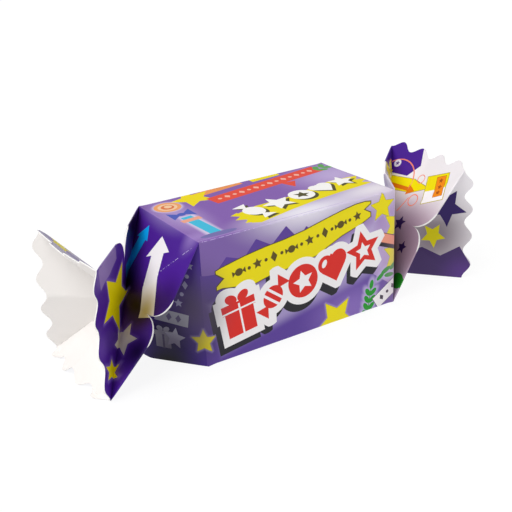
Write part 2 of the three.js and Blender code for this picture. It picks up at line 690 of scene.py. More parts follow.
@dataclass(frozen=True)
class Motif:
    """One plain form on the blank, turned clockwise as printed.

    u and v are its place along the blank and across the strips, and a and b its half sizes along
    and across its own axis. waist is the radius of the corners between a ray form's points, as a
    share of the points' own.
    """

    form: Form
    u: float
    v: float
    a: float
    b: float
    turn: float = 0.0
    points: int = 5
    waist: float = 0.48

    def near(self, window: Window, margin: float) -> bool:
        """Whether the form comes into a window.

        Args:
            window: the window.
            margin: how far its outline, shadow or halo reaches past it.

        Returns:
            True where it does.
        """
        first, last, top, bottom = window
        radius = math.hypot(self.a, self.b) if self.form is Form.BOX else max(self.a, self.b)
        reach = radius + margin
        return first - reach < self.u < last + reach and top - reach < self.v < bottom + reach


Motifs = tuple[Motif, ...]
Line = tuple[Flat, ...]


def disc(u: float, v: float, a: float, b: float = 0.0, turn: float = 0.0) -> Motif:
    """A disc, or an ellipse where b is given."""
    return Motif(Form.DISC, u, v, a, b or a, turn)


def box(u: float, v: float, a: float, b: float, turn: float = 0.0) -> Motif:
    """A rectangle of half sizes a and b."""
    return Motif(Form.BOX, u, v, a, b, turn)


def star(u: float, v: float, a: float, turn: float = -90.0, b: float = 0.0) -> Motif:
    """A five-pointed star with its first point towards turn."""
    return Motif(Form.RAYS, u, v, a, b or a, turn)


def wedge(u: float, v: float, a: float, b: float, turn: float = 0.0) -> Motif:
    """A triangle with its point towards turn, a from its middle, and b half across."""
    return Motif(Form.RAYS, u, v, a, b / math.sin(math.pi / 3), turn, 3, 0.5)


def diamond(u: float, v: float, a: float, b: float, turn: float = 0.0) -> Motif:
    """A diamond of half diagonals a and b."""
    return Motif(Form.RAYS, u, v, a, b, turn, 4, math.cos(math.pi / 4))


def placed(parts: Motifs, u: float, v: float, size: float, turn: float) -> Motifs:
    """Sets a group of motifs, drawn about its own middle, on the blank.

    Args:
        parts: the group, drawn for a size of 1.
        u: the place of its middle along the blank.
        v: the place of its middle across the strips.
        size: how many times larger it is printed.
        turn: how far it is turned.

    Returns:
        The group's motifs in their places.
    """
    c, s = size * math.cos(math.radians(turn)), size * math.sin(math.radians(turn))
    return tuple(
        replace(p, u=u + p.u * c - p.v * s, v=v + p.u * s + p.v * c,
                a=p.a * size, b=p.b * size, turn=p.turn + turn)
        for p in parts
    )


@dataclass(frozen=True)
class Ink:
    """Motifs printed in one colour, with an outline and a shadow where they have one."""

    colour: str
    motifs: Motifs
    cut: Motifs = ()
    outline: float = 0.0
    outline_colour: str = "#F4F1F2"
    shadow: Flat | None = None
    shadow_colour: str = "#26252C"


@dataclass(frozen=True)
class Area:
    """The area between an upper and a lower line, each drawn as points along the blank."""

    colour: str
    upper: Line
    lower: Line
    cut: Motifs = ()
    outline: float = 0.0
    outline_colour: str = "#55471F"


@dataclass(frozen=True)
class TintAndLightWash:
    """A soft patch of another colour, which serves both as a tint of the print and as painted
    highlight, sheen and shade.
    """

    blend: ClassVar[str] = "MIX"
    colour: str
    u: float
    v: float
    a: float
    b: float
    strength: float
    turn: float = 0.0


@dataclass(frozen=True)
class PaintedShade(TintAndLightWash):
    """A soft patch of painted shade, which darkens what is printed under it where deep folds lie in
    shadow.
    """

    blend: ClassVar[str] = "MULTIPLY"


@dataclass(frozen=True)
class Glow:
    """A soft halo that fades out over a reach round motifs."""

    colour: str
    motifs: Motifs
    reach: float
    strength: float


@dataclass(frozen=True)
class WearAndHighlight:
    """Fine pale cracks and painted highlight on folds of the printed card, broken along the motifs'
    length.

    noise is the scale per millimetre, detail and roughness of what breaks them.
    """

    colour: str
    motifs: Motifs
    amount: float
    noise: tuple[float, float, float] = (0.9, 2.0, 0.6)


Layer = Ink | Area | TintAndLightWash | PaintedShade | Glow | WearAndHighlight
Layers = tuple[Layer, ...]

# The sum of the front's and the back's middle across the blank, at 1.5 and 3.5 sides
FRONT_AND_BACK = 5 * Blank.side


def moved(motifs: Motifs) -> Motifs:
    """Turns motifs of the front strip upright on the back strip."""
    return tuple(replace(m, u=-m.u, v=FRONT_AND_BACK - m.v, turn=m.turn + 180.0) for m in motifs)


def flipped(line: Line) -> Line:
    """Turns a line of the front strip in the same way, with its points in order again."""
    return tuple((-u, FRONT_AND_BACK - v) for u, v in reversed(line))


def turned(layer: Layer) -> Layer:
    """Turns a layer of the front strip upright on the back strip, half a turn on the blank.

    Args:
        layer: a layer of the front strip.

    Returns:
        The same layer on the back strip.
    """
    if isinstance(layer, TintAndLightWash):
        return replace(layer, u=-layer.u, v=FRONT_AND_BACK - layer.v, turn=layer.turn + 180.0)
    if isinstance(layer, Area):
        return replace(layer, upper=flipped(layer.lower), lower=flipped(layer.upper),
                       cut=moved(layer.cut))
    if isinstance(layer, Ink):
        shadow = layer.shadow and (-layer.shadow[0], -layer.shadow[1])
        return replace(layer, motifs=moved(layer.motifs), cut=moved(layer.cut), shadow=shadow)
    return replace(layer, motifs=moved(layer.motifs))


Socket = bpy.types.NodeSocket
Value = Socket | float | tuple | None


class Press:
    """Prints layers one over another on one zone of the blank, in a material's shader nodes."""

    LEAST_HEIGHT = 0.001

    def __init__(self, name: str, paper: str) -> None:
        """Makes the material, bare but for the colour under all layers.

        Args:
            name: the material's name.
            paper: the board's own colour as sRGB hex.
        """
        self.material = bpy.data.materials.new(name)
        self.material.use_nodes = True
        self.tree = self.material.node_tree
        self.spot: Socket = self.add("UVMap", uv_map=BLANK_MAP)
        axes = self.add("SeparateXYZ", self.spot).node.outputs
        self.u, self.v = axes[0], axes[1]
        self.place: Socket = self.add("CombineXYZ", self.u, self.v, 1.0)
        self.colour: Socket | tuple = linear(paper)

    def feed(self, socket: Socket, value: Value) -> None:
        """Joins a socket to another one, or gives it a plain value.

        Args:
            socket: the socket.
            value: what it gets, or None to leave it.
        """
        if isinstance(value, Socket):
            self.tree.links.new(value, socket)
        elif value is not None:
            socket.default_value = value

    def add(self, kind: str, *values: Value, **settings: object) -> Socket:
        """Adds a node and joins it up.

        Args:
            kind: the node's type without its first word.
            values: for each input in use, a socket, a plain value, or None to leave it.
            settings: the node's own properties.

        Returns:
            The node's first output in use.
        """
        node = self.tree.nodes.new("ShaderNode" + kind)
        for key, value in settings.items():
            setattr(node, key, value)
        for socket, value in zip([s for s in node.inputs if s.enabled], values):
            self.feed(socket, value)
        return next(s for s in node.outputs if s.enabled)

    def dress(self, looks: dict[str, Value]) -> bpy.types.Material:
        """Sets the shader's own sockets.

        Args:
            looks: what each socket gets, by the socket's name.

        Returns:
            The material.
        """
        shader = self.tree.nodes["Principled BSDF"]
        for name, value in looks.items():
            self.feed(shader.inputs[name], value)
        log.info("%s: %d nodes", self.material.name, len(self.tree.nodes))
        return self.material

    def lay(self, colour: str, amount: Socket, way: str = "MIX") -> None:
        """Lays a colour over what is printed so far, or multiplies that by it."""
        self.colour = self.add("Mix", amount, self.colour, linear(colour), data_type="RGBA",
                               blend_type=way)

    def stamp(self, colour: str, shape: Socket, grown: float = 0.0) -> None:
        """Prints a colour inside a shape that is given as a distance, and grown by a width."""
        self.lay(colour, self.add("Math", shape, grown, operation="LESS_THAN"))

    def fade(self, colour: str, far: Socket, reach: float, strength: float, way: str) -> None:
        """Prints a colour that fades out over a reach.

        Args:
            colour: the colour.
            far: the distance that it fades over.
            reach: where it ends.
            strength: how much of it there is where it begins.
            way: how it is blended with what is under it.
        """
        amount = self.add("MapRange", far, 0.0, reach, strength, 0.0,
                          interpolation_type="SMOOTHSTEP")
        self.lay(colour, amount, way)

    def axes(self, spot: Flat, turn: float, a: float, b: float) -> tuple[Socket, Socket]:
        """How far this point lies from a spot, along a direction and across it.

        Args:
            spot: the spot on the blank.
            turn: the direction.
            a: what the length along the direction is divided by.
            b: what the length across it is divided by.

        Returns:
            The length along and the length across.
        """
        lengths = []
        for angle, stretch in ((math.radians(turn), a), (math.radians(turn) + math.pi / 2, b)):
            c, s = math.cos(angle) / stretch, math.sin(angle) / stretch
            weights = (c, s, -c * spot[0] - s * spot[1])
            lengths.append(self.add("VectorMath", self.place, weights, operation="DOT_PRODUCT"))
        return lengths[0], lengths[1]

    def length(self, x: Socket, y: Socket) -> Socket:
        """The length of a line that goes x along and y across.

        Args:
            x: how far it goes along.
            y: how far it goes across.

        Returns:
            Its length.
        """
        square = self.add("Math", x, x, operation="MULTIPLY")
        square = self.add("Math", y, y, square, operation="MULTIPLY_ADD")
        return self.add("Math", square, operation="SQRT")

    def distance(self, motif: Motif, shift: Flat = (0.0, 0.0)) -> Socket:
        """The distance from a motif's edge, negative inside.

        Args:
            motif: the motif.
            shift: how far it is moved first.

        Returns:
            The distance, across the motif's narrow way.
        """
        spot = (motif.u + shift[0], motif.v + shift[1])
        if motif.form is Form.BOX:
            past = []
            for length, half in zip(self.axes(spot, motif.turn, 1.0, 1.0), (motif.a, motif.b)):
                length = self.add("Math", length, operation="ABSOLUTE")
                past.append(self.add("Math", length, half, operation="SUBTRACT"))
            return self.add("Math", *past, operation="MAXIMUM")
        small = min(motif.a, motif.b)
        x, y = self.axes(spot, motif.turn, motif.a / small, motif.b / small)
        length = self.length(x, y)
        if motif.form is Form.DISC:
            return self.add("Math", length, small, operation="SUBTRACT")
        half = math.pi / motif.points
        slant = math.atan2(1 - motif.waist * math.cos(half), motif.waist * math.sin(half))
        angle = self.add("Math", y, x, operation="ARCTAN2")
        angle = self.add("Math", angle, half, operation="PINGPONG")
        angle = self.add("Math", angle, slant, operation="SUBTRACT")
        share = self.add("Math", angle, operation="COSINE")
        edge = -small * math.cos(slant)
        straight = self.add("Math", length, share, edge, operation="MULTIPLY_ADD")
        rounded = self.add("Math", length, small, operation="SUBTRACT")
        return self.add("Math", straight, rounded, operation="MAXIMUM")

    def union(self, motifs: Motifs, shift: Flat = (0.0, 0.0)) -> Socket:
        """The distance from the nearest of several motifs' edges.

        Args:
            motifs: the motifs.
            shift: how far they are moved first.

        Returns:
            The distance, negative inside.
        """
        nearest = self.distance(motifs[0], shift)
        for motif in motifs[1:]:
            nearest = self.add("Math", nearest, self.distance(motif, shift), operation="MINIMUM")
        return nearest

    def without(self, shape: Socket, cut: Motifs) -> Socket:
        """Takes motifs out of a shape.

        Args:
            shape: the distance from the shape's edge.
            cut: the motifs, or none.

        Returns:
            The distance from the edge of what is left.
        """
        if not cut:
            return shape
        hole = self.add("Math", self.union(cut), -1.0, operation="MULTIPLY")
        return self.add("Math", shape, hole, operation="MAXIMUM")

    def line(self, points: Line) -> Socket:
        """A drawn line's place across the strips, where this point is along the blank.

        Args:
            points: the line's points, from left to right.

        Returns:
            The place across the strips.
        """
        (first, _), (last, _) = points[0], points[-1]
        low = min(v for _, v in points)
        height = max(max(v for _, v in points) - low, self.LEAST_HEIGHT)
        share = self.add("MapRange", self.u, first, last, 0.0, 1.0)
        drawn = self.add("FloatCurve", 1.0, share)
        curve = drawn.node.mapping.curves[0]
        places = [((u - first) / (last - first), (v - low) / height) for u, v in points]
        curve.points[0].location, curve.points[1].location = places[0], places[-1]
        for place in places[1:-1]:
            curve.points.new(*place)
        for point in curve.points:
            point.handle_type = "VECTOR"
        drawn.node.mapping.update()
        return self.add("Math", drawn, height, low, operation="MULTIPLY_ADD")

    def fill(self, shape: Socket, layer: Ink | Area) -> None:
        """Prints a shape's outline, where its layer has one, and then the shape.

        Args:
            shape: the distance from the shape's edge.
            layer: gives the colours and the outline's width.
        """
        if layer.outline:
            self.stamp(layer.outline_colour, shape, layer.outline)
        self.stamp(layer.colour, shape)

    def ink(self, layer: Ink) -> None:
        """Prints an ink's shadow and outline, and then its motifs.

        Args:
            layer: the ink.
        """
        shape = self.without(self.union(layer.motifs), layer.cut)
        if layer.shadow:
            self.stamp(layer.shadow_colour, self.union(layer.motifs, layer.shadow), layer.outline)
        self.fill(shape, layer)

    def area(self, layer: Area) -> None:
        """Prints an area's outline and the area.

        Args:
            layer: the area.
        """
        first = min(layer.upper[0][0], layer.lower[0][0])
        last = max(layer.upper[-1][0], layer.lower[-1][0])
        above = self.add("Math", self.line(layer.upper), self.v, operation="SUBTRACT")
        below = self.add("Math", self.v, self.line(layer.lower), operation="SUBTRACT")
        aside = self.add("Math", self.u, (first + last) / 2, operation="SUBTRACT")
        aside = self.add("Math", aside, operation="ABSOLUTE")
        aside = self.add("Math", aside, (last - first) / 2, operation="SUBTRACT")
        shape = self.add("Math", above, below, operation="MAXIMUM")
        shape = self.add("Math", shape, aside, operation="MAXIMUM")
        self.fill(self.without(shape, layer.cut), layer)

    def tint_and_light_wash(self, layer: TintAndLightWash) -> None:
        """Prints a soft patch of tint, painted light or painted shade, out to the ellipse of its half
        sizes.
        """
        far = self.length(*self.axes((layer.u, layer.v), layer.turn, layer.a, layer.b))
        self.fade(layer.colour, far, 1.0, layer.strength, layer.blend)

    def glow(self, layer: Glow) -> None:
        """Prints a halo."""
        self.fade(layer.colour, self.union(layer.motifs), layer.reach, layer.strength, "MIX")

    def wear_and_highlight(self, layer: WearAndHighlight) -> None:
        """Prints fine broken cracks and painted highlight.

        Args:
            layer: the cracks and highlight.
        """
        shape = self.union(layer.motifs)
        inside = self.add("Math", shape, 0.0, operation="LESS_THAN")
        grain = self.add("TexNoise", self.spot, *layer.noise, noise_dimensions="2D")
        broken = self.add("Math", grain, 1.0 - layer.amount, operation="GREATER_THAN")
        self.lay(layer.colour, self.add("Math", inside, broken, operation="MULTIPLY"))

    def run(self, layers: list[Layer]) -> None:
        """Prints all layers in their order.

        Args:
            layers: the layers, the lowest first.
        """
        ways = {Ink: self.ink, Area: self.area, TintAndLightWash: self.tint_and_light_wash, PaintedShade: self.tint_and_light_wash,
                Glow: self.glow, WearAndHighlight: self.wear_and_highlight}
        for layer in layers:
            ways[type(layer)](layer)


@dataclass(frozen=True)
class GlossPrint:
    """Offset ink on folding board under a clear gloss film.

    It gives strong flat colours with one clear, slightly uneven reflection over them, and the
    board's faint grain shows only where light grazes. A noise has a scale per millimetre, a
    detail and a roughness, and a bump a strength and a height in metres.
    """

    roughness: float = 0.4
    specular: float = 0.12
    coat: float = 0.14
    coat_roughness: float = 0.12
    swell_noise: tuple[float, float, float] = (0.06, 1.0, 0.4)
    grain_noise: tuple[float, float, float] = (1.6, 2.0, 0.5)
    swell_bump: Flat = (0.35, 0.00025)
    grain_bump: Flat = (0.10, 0.00002)

    def material(self, zone_name: str, paper: str, layers: list[Layer]) -> bpy.types.Material:
        """Prints and laminates one zone of the blank, painted light and shade in its print included.

        Args:
            zone_name: the zone's strip and name, which end the material's name.
            paper: the colour under all layers.
            layers: what is printed over it, painted light and shade among the print, the lowest first.

        Returns:
            The material.
        """
        press = Press(f"offset_print_under_gloss_film_{zone_name}", paper)
        press.run(layers)
        swell = press.add("TexNoise", press.spot, *self.swell_noise, noise_dimensions="2D")
        grain = press.add("TexNoise", press.spot, *self.grain_noise, noise_dimensions="2D")
        bump = press.add("Bump", *self.swell_bump, None, swell)
        bump = press.add("Bump", *self.grain_bump, None, grain, bump)
        return press.dress({
            "Base Color": press.colour, "Roughness": self.roughness,
            "Specular IOR Level": self.specular, "Coat Weight": self.coat,
            "Coat Roughness": self.coat_roughness, "Normal": bump, "Coat Normal": bump,
        })


@dataclass(frozen=True)
class BareBoard:
    """White folding board or paper without print or film.

    Its matt, slightly fibrous face scatters light softly, so it shades gently and has no glints.
    fibre_noise has a scale per millimetre, a detail and a roughness, and fibre_height is in
    metres. A glow lights it from behind.
    """

    name: str
    colour: str
    roughness: float
    fibres: float
    glow: float = 0.0
    specular: float = 0.3
    fibre_noise: tuple[float, float, float] = (2.2, 3.0, 0.6)
    fibre_height: float = 0.00003

    def material(self) -> bpy.types.Material:
        """Makes the material.

        Returns:
            The material.
        """
        press = Press(self.name, self.colour)
        fibres = press.add("TexNoise", press.spot, *self.fibre_noise, noise_dimensions="2D")
        bump = press.add("Bump", self.fibres, self.fibre_height, None, fibres)
        return press.dress({
            "Base Color": press.colour, "Roughness": self.roughness, "Normal": bump,
            "Specular IOR Level": self.specular, "Emission Strength": self.glow,
        })


@dataclass(frozen=True)
class Sheet:
    """The printed blank: the colour under each strip's zones, and all layers in their order, painted
    light and shade among them.

    fold_room is more than a fold is long, and spare is kept round each zone's window.
    """

    blank: Blank
    finish: GlossPrint
    papers: tuple[tuple[str, str, str], ...]
    layers: Layers
    fold_room: float = 80.0
    spare: float = 1.0

    def window(self, strip: int, zone: Zone) -> Window:
        """Where a strip's zone is.

        Args:
            strip: the strip, from 0 at the top of the pack.
            zone: the stretch of the strip.

        Returns:
            Its first and last place along the blank, and its first and last place across.
        """
        edge = self.blank.body_length / 2
        far = edge + self.fold_room
        first, last = ((-far, -edge), (-edge, edge), (edge, far))[zone.value]
        return first, last, strip * self.blank.side, (strip + 1) * self.blank.side

    def fitted(self, layer: Layer, window: Window) -> Layer | None:
        """The part of a layer that comes into a window.

        Args:
            layer: the layer.
            window: the window.

        Returns:
            The layer with the motifs that matter there, or None where nothing does.
        """
        first, last, top, bottom = window
        if isinstance(layer, TintAndLightWash):
            whole = disc(layer.u, layer.v, max(layer.a, layer.b))
            return layer if whole.near(window, 0.0) else None
        if isinstance(layer, Area):
            along, across = zip(*layer.upper, *layer.lower)
            meets = min(along) < last and max(along) > first
            return layer if meets and min(across) < bottom and max(across) > top else None
        margin = self.spare
        if isinstance(layer, Glow):
            margin += layer.reach
        if isinstance(layer, Ink):
            margin += layer.outline + math.hypot(*(layer.shadow or (0.0, 0.0)))
        kept = tuple(m for m in layer.motifs if m.near(window, margin))
        return replace(layer, motifs=kept) if kept else None

    def material(self, strip: int, zone: Zone) -> bpy.types.Material:
        """The printed board of one strip's zone, with the layers that come into it.

        Args:
            strip: the strip, from 0 at the top of the pack.
            zone: the stretch of the strip.

        Returns:
            The material.
        """
        window = self.window(strip, zone)
        layers = [kept for layer in self.layers if (kept := self.fitted(layer, window))]
        paper = self.papers[strip][zone.value]
        return self.finish.material(f"{strip}_{zone.name.lower()}", paper, layers)


# Groups of motifs, drawn about their own middle for a size of 1
SWEET = (disc(0, 0, 1, 0.88), wedge(1.42, 0, 0.62, 0.72, 180),
         wedge(-1.42, 0, 0.62, 0.72))
HEART = (disc(0.47, -0.3, 0.56), disc(-0.47, -0.3, 0.56), diamond(0, 0.12, 0.87, 0.94))
PARCEL = (box(0, 0.3, 0.86, 0.72), box(0, -0.62, 1, 0.26), disc(0.36, -1.1, 0.36, 0.26, -30),
          disc(-0.36, -1.1, 0.36, 0.26, 30))
SPRIG = tuple(
    disc(1.55 * n + math.cos(math.radians(k)), math.sin(math.radians(k)), 1, 0.52, k)
    for n in range(4) for k in (-42, 42)
) + (disc(7, 0, 1, 0.5), box(3.4, 0, 3.6, 0.1))

YELLOW = "#EEDD00"
RED = "#DB2A22"
GREEN = "#25962F"
WHITE = "#F6F2F4"
PALE = "#C9BCE2"

# The colour under all print, strip by strip: its left fold, its body and its right fold
PAPERS = (
    ("#4A1E90", "#8762B0", "#9A84BE"),
    ("#45258C", "#7F63A9", "#EDE8EB"),
    ("#4E2698", "#7C60AE", "#ECE8EC"),
    ("#9C92B8", "#7E60B0", "#5A26A8"),
)

FRONT_STARS = (star(-51.6, 100.6, 5.7), star(16.4, 110.4, 10.8, -50), star(43, 62.4, 6.9),
               star(52, 73, 8.8, -70), star(52, 87.4, 8.6, -80))
LEFT_STARS = (star(-99.4, 22.2, 17.6, 17, 15), star(-115.6, 46.6, 4.6, -62, 7.2),
              star(-113, 173, 7, -60))
HIDDEN_STARS = (
    star(-112, 74, 8), star(-104, 150, 9), star(-66, 140, 6),
    star(-112, 196, 11, -70), star(-70, 198, 7), star(-36, 126, 8),
    star(38, 152, 9.4, -70), star(30, 122, 4.6), star(108, 24, 12, -60),
    star(72, 30, 7), star(104, 198, 10), star(70, 196, 6),
)
SPRIGS = (*placed(SPRIG, 34.2, 115, 2.3, -80), disc(42.2, 96.6, 2.5, 1.1, -34),
          disc(45.4, 94.2, 3, 1.2, -24), disc(47.4, 97, 2.8, 1.1, 4),
          disc(49.8, 93, 2.4, 1.2, -40))
RED_ROW = (
    *placed(PARCEL, -33.6, 93.4, 8.2, -8), *placed(SWEET, -16.9, 89.4, 5.4, -52),
    disc(-1.2, 86.4, 7.8), *placed(HEART, 15.2, 83.6, 7.6, -12), star(32.2, 80.8, 9.8, -100),
)
ROW_HOLES = (
    box(-33, 94.8, 0.45, 7.6, -8), box(-33.9, 89.9, 8.6, 0.4, -8),
    box(-15.9, 88.1, 4.6, 0.6, 38), box(-17.9, 90.7, 4.6, 0.6, 38),
    star(-1, 86.6, 5.4, -104), disc(10.4, 81.6, 1.2, 2, 24), star(32.2, 81, 4.4, -100),
)
BANNER_MARKS = (
    *placed(SWEET, -33, 73.4, 1.9, -8), disc(-28, 72.9, 0.8), star(-23.9, 72, 2.5, -96),
    disc(-19.6, 71.5, 0.8), diamond(-15.6, 71, 1.7, 2.6, -8), disc(-11.6, 70.4, 0.8),
    *placed(SWEET, -6.6, 70, 1.9, -8), disc(-1.4, 69.1, 0.8), star(2.8, 68.4, 2.5, -98),
    disc(7.2, 67.5, 0.8), diamond(11, 66.9, 1.7, 2.6, -10), disc(14.8, 66.2, 0.8),
    *placed(SWEET, 19.6, 65.3, 1.9, -10), disc(24.6, 64.4, 0.8), star(28.8, 63.6, 2.4, -98),
)

# The front of the body. The back is taken to repeat it.
FRONT_GROUND_AND_PAINTED_LIGHT: Layers = (
    # Painted highlight along the front's top edge, and painted light that lightens the front to
    # lavender towards its right end
    TintAndLightWash("#F0ECF6", 4, 53, 46, 18, 1),
    TintAndLightWash("#C6ACD8", 56, 88, 50, 60, 0.95),
    Area("#5B3F98",
         ((-51, 70.6), (-44.5, 71.4), (-38.5, 65.2), (-30.5, 68.2), (-24, 61),
          (-16.5, 65.6), (-9, 58.9), (-3, 66), (1.4, 61.4), (5, 66), (14, 76),
          (51, 104)),
         ((-51, 112), (51, 112))),
    TintAndLightWash("#8A6EBC", 26, 108, 34, 20, 0.9),
    # Darker at the front's left edge: the print's dark field, deepened with painted shade
    TintAndLightWash("#4A3878", -45, 92, 13, 24, 0.7),
    Glow(PALE, (box(-2, 88.4, 40, 8, -10.6),), 7, 0.55),
)

FRONT: Layers = (
    Glow(PALE, SPRIGS, 1.8, 0.7),
    Glow(PALE, FRONT_STARS, 1.4, 0.4),
    Ink(YELLOW, FRONT_STARS, outline=0.2, outline_colour="#A89A3A"),
    Ink("#F29A7E", (box(47.6, 79.2, 8.4, 2.1, 22),), outline=0.35, outline_colour="#4A3038",
        shadow=(-0.7, 1.5)),
    Ink(GREEN, SPRIGS),
    Ink(WHITE, (box(50, 103.2, 12.4, 3.3, -31),), cut=(box(70.4, 103, 20, 20),),
        outline=0.3, outline_colour="#4A4458"),
    Ink("#3E3848", (diamond(43, 107.4, 1.2, 1.7, -31), disc(46.4, 105.3, 0.8),
                    diamond(49.8, 103.3, 1.2, 1.7, -31))),
    Area(YELLOW,
         ((-43.8, 70.2), (-41, 69.4), (-30, 67.2), (-20, 65.8), (-10, 64.9),
          (0, 63.4), (10, 61.2), (20, 59.2), (28, 58), (33.4, 57.9), (36.2, 58.4)),
         ((-43.8, 78.6), (-41.4, 78.3), (-35, 79.4), (-29, 81.4), (-20, 79.4),
          (-8, 78.2), (6, 76.4), (20, 70.6), (31, 67.6), (36.2, 65.4)),
         cut=(wedge(-43.6, 74.3, 3.6, 4.2), wedge(36.4, 61.4, 4, 3.4, 180)), outline=0.45),
    Ink("#5C4E1C", BANNER_MARKS),
    Ink(RED, RED_ROW, outline=3.2, shadow=(-2.2, 3)),
    Ink(WHITE, ROW_HOLES),
)

# Painted sheen on the top: a highlight across its front edge and right corner, and a paler glow along
# its left edge and at its front-left corner
TOP_PAINTED_SHEEN: Layers = (
    TintAndLightWash("#F6F3F4", 45, 50, 34, 20, 1),
    TintAndLightWash("#C2AEDC", 44, 20, 36, 30, 0.95),
    TintAndLightWash("#CDB8E6", -42, 24, 15, 34, 0.55),
    TintAndLightWash("#B094D2", -47, 50, 14, 8, 0.6),
)

# A red bar of marks, white motifs on a yellow ribbon, and a round sweet on a wrapped stick
TOP: Layers = (
    Ink("#F09A5A", (box(-12, 2.4, 14, 2.6, -8),)),
    Ink("#F4DE10", (star(-26.6, 6.6, 11, -100), box(15, 0.8, 8, 2.8, -4))),
    Ink("#E8503E", (box(10.6, 11.2, 32.4, 4.6, -7.8), wedge(19.6, 17.6, 5.4, 3.8, 98))),
    Ink("#F6B9A8", (
        *(disc(-17 + 4.2 * n, 14.9 - 0.575 * n, 1) for n in range(0, 14, 2)),
        *(diamond(-17 + 4.2 * n, 14.9 - 0.575 * n, 1.5, 2, -8) for n in range(1, 14, 2)),
    )),
    Ink("#63A85A", placed(SPRIG[:4], 41, 8.6, 3, -20)),
    Area(YELLOW,
         ((-22, 37.4), (-10, 33.6), (5, 33.4), (20, 30.2), (35, 26.6), (46.5, 27.6)),
         ((-22, 50.4), (-18.6, 52.4), (0, 47.6), (15, 44.6), (30, 42.6), (46.5, 41.2))),
    Ink(YELLOW, (wedge(-22.6, 38.4, 2.6, 2.6, 190), wedge(-23.2, 43.4, 2.8, 2.4, 175),
                 wedge(-21.8, 48.4, 2.6, 2.4, 170), wedge(47.4, 29.4, 2.8, 2.6, -20),
                 wedge(48, 34.8, 2.8, 2.6, 8), wedge(46.6, 39.6, 3, 2.4, 20))),
    Ink("#FDFBF8", (
        *placed(SWEET, -13.6, 38.4, 5.4, 72), star(0.2, 36.4, 8, -104), disc(14.4, 34, 6.2),
        *placed(HEART, 27.6, 31.8, 6, -12), star(39.8, 30, 6.8, -80),
    ), cut=(star(14.4, 34.2, 4, -70),), shadow=(0.7, 1.9), shadow_colour="#57522C"),
    Glow("#E4D8F2", (disc(-41, 10, 5.6), box(-39.8, 38, 2.6, 12)), 2.4, 0.8),
    Ink("#45BFE0", (box(-39.8, 38, 2.6, 12, -3),)),
    Ink("#F3A66A", (disc(-41, 10, 6.2),), cut=(disc(-41, 10, 4.4),)),
    Ink("#F8CFA6", (disc(-41, 10, 4.4),)),
    Ink("#E27A48", (disc(-41, 10, 3),), cut=(disc(-40.6, 9.6, 1.8),)),
    Ink("#5060BC", (wedge(-44.2, 22.4, 3.4, 4.6), wedge(-36.6, 22, 3.4, 4.6, 180),
                    disc(-40.4, 22.2, 1.9))),
    Ink("#F2A98E", (box(-40, 30.6, 4.6, 1.7, -3),)),
    Ink("#7A72AE", (disc(-38.8, 51.8, 8.4, 2),)),
)

# One plain white field
BOTTOM: Layers = (
    Ink(WHITE, (box(-2, 142, 24, 13),), outline=0.5, outline_colour="#4A3A86"),
)

# Two arrows on violet, stars that run on to the flare, and a grey group in the fold's shade, with
# painted shade deep in the fold and under the fins, and painted sheen on the flare's top
LEFT_FOLD: Layers = (
    # Painted sheen: a paler patch and a lighter facet on the top of the flare, and a paler patch low
    # on it
    TintAndLightWash("#9078B4", -112, 2.6, 18, 9, 0.7, -12),
    Ink("#8A70AE", (box(-109.6, 2.6, 10.4, 5.6, -14),)),
    TintAndLightWash("#7A55B8", -122, 34, 10, 9, 0.5),
    Ink("#0AA0EC", (box(-71, 16.9, 12.6, 2.9, -2), wedge(-59.2, 16.4, 4.3, 4.9, -2))),
    # Painted shade: a darker facet beside the arrow, the dark valley at the waist, brown shade there
    # with the yellow star's reflection in it, and the dark fold above
    PaintedShade("#A890A0", -78, 53, 16, 12, 0.9),
    PaintedShade("#1A1024", -82, 24, 14, 20, 1, 30),
    TintAndLightWash("#2A1810", -86, 37, 14, 17, 1),
    PaintedShade("#1A1230", -68, 2, 24, 16, 1),
    Ink(WHITE, (box(-75.4, 39.8, 14, 4.1, -27), wedge(-60.9, 32.4, 5.6, 7.7, -27))),
    Glow("#6A48A8", (star(-100.4, 42.4, 7.4, -84),), 1.6, 0.7),
    # A pale star of the print, its white greyed as painted shade
    Ink("#D9CFC0", (star(-100.4, 42.4, 7.4, -84),)),
    Glow("#8A6CC4", LEFT_STARS, 2, 0.6),
    Ink(YELLOW, LEFT_STARS),
    # Painted shade over the front of the neck, darker and greyer towards the bottom where the fins
    # hang over it
    TintAndLightWash("#4A4052", -56, 86, 24, 30, 0.85),
    PaintedShade("#5A5468", -70, 98, 16, 18, 0.9),
    PaintedShade("#0C0818", -70, 112, 20, 9.5, 1),
    Ink("#8F8E97", (box(-65.4, 90.6, 7.6, 2.9, 9), *placed(PARCEL, -70.2, 101, 4.2, 4))),
    Ink("#A5A4AF", (star(-64.8, 100.2, 5, -80),)),
    Ink("#5C5470", (box(-70.2, 102.3, 0.5, 3.4, 4), diamond(-66.6, 90.4, 1.3, 1.9, 9),
                    diamond(-62.4, 91, 1.3, 1.9, 9))),
    Ink("#8A86A0", (star(-55.4, 66.5, 1.9), disc(-56.8, 71.2, 0.9), diamond(-58, 75.2, 1.3, 1.9),
                    disc(-59.8, 79.4, 0.9), star(-61.6, 83.6, 2))),
    # More painted shade: warm on the arrow's tail, dark low on the flare, and over the neck's front
    PaintedShade("#BBA864", -86, 44, 16, 11, 1),
    PaintedShade("#241A3A", -101, 53, 14, 11, 0.9),
    PaintedShade("#6A5A78", -66, 106, 26, 20, 0.9),
)
